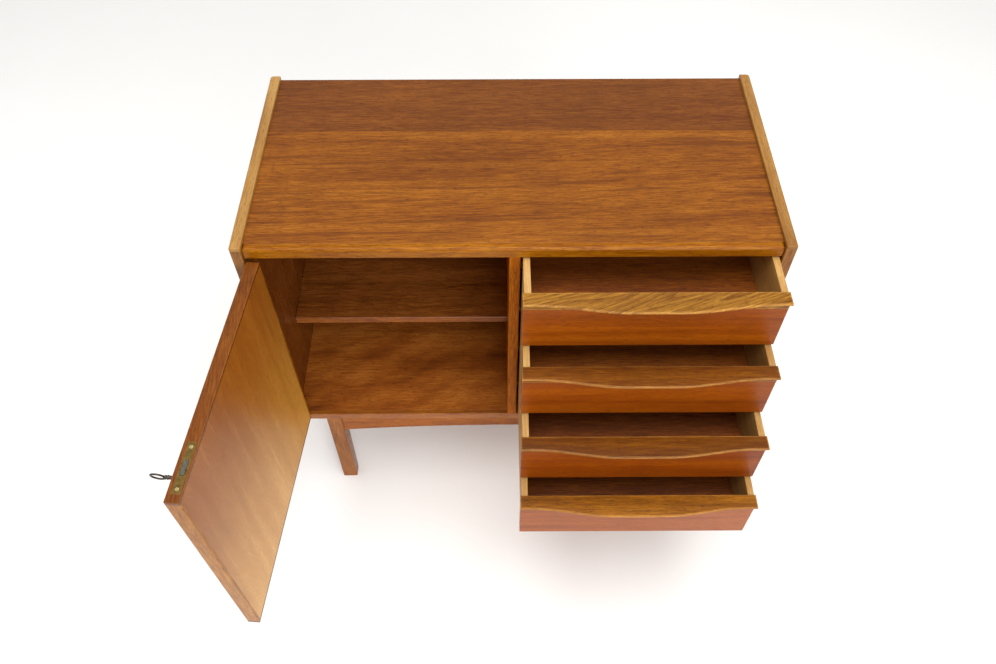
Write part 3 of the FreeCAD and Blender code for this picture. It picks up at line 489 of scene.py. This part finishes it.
def metalMaterial(name, metal):
    # Fine rubbing lines from handling, and dull patches where the metal has tarnished
    material, tree = newMaterial(name)
    place = addNode(tree, "ShaderNodeTexCoord")
    stains = addNode(tree, "ShaderNodeTexNoise", {},
                     {"Scale": 1 / (metal["stainSize"] * mm), "Detail": 4.0, "Roughness": 0.6},
                     {"Vector": place.outputs["Object"]})
    share = addNode(tree, "ShaderNodeMapRange", {},
                    {"From Min": 0.4, "From Max": 0.68, "To Max": metal["stainShare"]},
                    {"Value": stains.outputs["Fac"]})
    colour = addNode(tree, "ShaderNodeMix", {"data_type": "RGBA"},
                     {6: linearColour(metal["bright"]), 7: linearColour(metal["dull"])},
                     {0: share.outputs[0]})
    pull = addNode(tree, "ShaderNodeVectorMath", {"operation": "MULTIPLY"}, {1: metal["rubbed"]},
                   {0: place.outputs["Object"]})
    lines = addNode(tree, "ShaderNodeTexNoise", {}, {"Scale": 1 / (0.5 * mm), "Detail": 2.0},
                    {"Vector": pull.outputs[0]})
    rough = addNode(tree, "ShaderNodeMapRange", {},
                    {"To Min": metal["roughness"], "To Max": metal["roughness"] + 0.2},
                    {"Value": stains.outputs["Fac"]})
    soft = addNode(tree, "ShaderNodeBevel", {"samples": 4}, {"Radius": 0.3 * mm})
    bump = addNode(tree, "ShaderNodeBump", {}, {"Strength": 0.2, "Distance": 0.0001},
                   {"Height": lines.outputs["Fac"], "Normal": soft.outputs[0]})
    shader = addNode(tree, "ShaderNodeBsdfPrincipled", {}, {"Metallic": 1.0},
                     {"Base Color": colour.outputs[2], "Roughness": rough.outputs[0], "Normal": bump.outputs[0]})
    addNode(tree, "ShaderNodeOutputMaterial", {}, {}, {"Surface": shader.outputs["BSDF"]})
    return material


# Rolled brass gone olive, brass screws still bright from being turned, worn and handled steel, and zinc plating
metals = {
    "brass_aged_dull": {"bright": "#796135", "dull": "#4c3d19", "stainSize": 6, "stainShare": 0.8,
                        "rubbed": (1, 0.06, 1), "roughness": 0.38},
    "brass_screws_rubbed": {"bright": "#c4b27c", "dull": "#6a5a2c", "stainSize": 3, "stainShare": 0.6,
                            "rubbed": (1, 1, 1), "roughness": 0.3},
    "steel_worn_dull": {"bright": "#6b685e", "dull": "#47443c", "stainSize": 5, "stainShare": 0.7,
                        "rubbed": (1, 1, 0.08), "roughness": 0.35},
    "steel_key_dark": {"bright": "#5a534a", "dull": "#2e2922", "stainSize": 5, "stainShare": 0.8,
                       "rubbed": (0.1, 1, 1), "roughness": 0.3},
    "steel_zinc_plated": {"bright": "#c2c4c4", "dull": "#9a9c9c", "stainSize": 4, "stainShare": 0.5,
                          "rubbed": (1, 1, 1), "roughness": 0.35}}
agedBrass, rubbedBrass, wornSteel, darkSteel, zincSteel = (
    metalMaterial(name, metal) for name, metal in metals.items())
paint(["lock_faceplate", "lock_strike_plate", "keyhole_bush", "hinge_cabinet_leaves", "hinge_door_leaves",
       "hinge_pins"], agedBrass)
paint(["door_brass_screws", "cabinet_brass_screws"], rubbedBrass)
paint(["lock_bolt", "lock_case"], wornSteel)
paint(["base_screws"], zincSteel)
print("metal done")


# Key, turned and filed from steel: an oval bow, a collar, a round shank and a flat bit with a step filed in it

keyShape = {"bowHalfHeight": 10.5 * mm, "bowHalfLength": 8.5 * mm, "bowWire": 1.5 * mm,
            "shank": 2.5 * mm, "neck": 2.0 * mm, "collar": 3.9 * mm, "bead": 3.1 * mm,
            "bowEnd": 8.0 * mm, "collarFrom": 27.8 * mm, "tip": 44.5 * mm,
            "bitFrom": 39.2 * mm, "bitLength": 4.8 * mm, "bitReach": 6.8 * mm, "bitThick": 1.7 * mm, "tilt": 12}
turn = next(joint for joint in frame["joints"] if joint["name"] == "key_turn")


def pickFaces(piece, wanted):
    # Opens the piece for editing with only these faces selected
    bpy.ops.object.mode_set(mode="EDIT")
    bpy.ops.mesh.select_mode(type="FACE")
    bpy.ops.mesh.select_all(action="DESELECT")
    bpy.ops.object.mode_set(mode="OBJECT")
    for face in piece.data.polygons:
        face.select = wanted(face)
    bpy.ops.object.mode_set(mode="EDIT")


def extrudeEnd(forward, scale):
    # Draws the end face of a turned rod forward along X and then widens or narrows it
    bpy.ops.mesh.extrude_region_move(TRANSFORM_OT_translate={"value": (forward, 0, 0)})
    bpy.ops.transform.resize(value=(1, scale, scale))


bpy.ops.mesh.primitive_torus_add(major_radius=keyShape["bowHalfLength"], minor_radius=keyShape["bowWire"],
                                 major_segments=64, minor_segments=16, rotation=(math.pi / 2, 0, 0))
bow = bpy.context.object
bow.scale = (1, keyShape["bowHalfHeight"] / keyShape["bowHalfLength"], 1)
bpy.ops.object.transform_apply(location=True, rotation=True, scale=True)
# The bow is drawn thin sideways, as a pressed key is
bpy.ops.object.mode_set(mode="EDIT")
bpy.ops.mesh.select_all(action="SELECT")
bpy.ops.transform.resize(value=(1, 0.8, 1))
bpy.ops.object.mode_set(mode="OBJECT")
bpy.ops.object.select_all(action="DESELECT")

bpy.ops.mesh.primitive_cylinder_add(vertices=32, radius=keyShape["neck"], depth=1.0 * mm,
                                    location=(keyShape["bowEnd"] - 0.5 * mm, 0, 0), rotation=(0, math.pi / 2, 0))
shank = bpy.context.object
bpy.ops.object.transform_apply(location=True, rotation=True, scale=True)
pickFaces(shank, lambda face: face.normal.x > 0.9)
neckToCollar = keyShape["collarFrom"] - keyShape["bowEnd"]
bead = keyShape["bead"] / keyShape["neck"]
collar = keyShape["collar"] / keyShape["shank"]
for forward, scale in ((2.0 * mm, bead), (1.4 * mm, 1 / bead), (1.0 * mm, bead), (0.8 * mm, 1.0),
                       (1.2 * mm, keyShape["shank"] / keyShape["bead"]), (neckToCollar - 7.4 * mm, 1.0),
                       (0.4 * mm, collar), (1.0 * mm, 1.0), (0.4 * mm, 0.9), (0.9 * mm, 1.0 / 0.9),
                       (0.3 * mm, 1 / collar),
                       (keyShape["tip"] - keyShape["collarFrom"] - 3.6 * mm, 1.0), (0.6 * mm, 0.8)):
    extrudeEnd(forward, scale)
bpy.ops.object.mode_set(mode="OBJECT")
bpy.ops.object.select_all(action="DESELECT")

bpy.ops.mesh.primitive_cube_add(size=1, location=(keyShape["bitFrom"] + keyShape["bitLength"] / 2, 0,
                                                  -keyShape["bitReach"] / 2))
bit = bpy.context.object
bit.scale = (keyShape["bitLength"], keyShape["bitThick"], keyShape["bitReach"])
bpy.ops.object.transform_apply(location=True, rotation=True, scale=True)
pickFaces(bit, lambda face: face.normal.z < -0.9)
bpy.ops.mesh.inset(thickness=0.4 * mm, depth=0)
bpy.ops.transform.resize(value=(0.45, 1, 1))
bpy.ops.mesh.extrude_region_move(TRANSFORM_OT_translate={"value": (0, 0, 1.6 * mm)})
bpy.ops.object.mode_set(mode="OBJECT")

for piece in (bow, shank, bit):
    piece.select_set(True)
bpy.context.view_layer.objects.active = shank
bpy.ops.object.join()
key = bpy.context.object
key.name = "turned_key"
filed = key.modifiers.new("filed", "BEVEL")
filed.width = 0.25 * mm
filed.segments = 2
filed.limit_method = "ANGLE"
bpy.ops.object.modifier_apply(modifier=filed.name)
bpy.ops.object.shade_smooth_by_angle(angle=math.radians(35))
# Into the lock, along the key's own axis and tilted as it was left
key.matrix_world = (Matrix.Translation(turn["pos_m"])
                    @ Vector(turn["axis"]).to_track_quat("X", "Z").to_matrix().to_4x4()
                    @ Matrix.Rotation(math.radians(keyShape["tilt"]), 4, "X"))
bpy.ops.object.transform_apply(location=True, rotation=True, scale=True)
bpy.ops.object.select_all(action="DESELECT")
key.data.materials.clear()
key.data.materials.append(darkSteel)
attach(key, "key")
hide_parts("key")
print("key done")
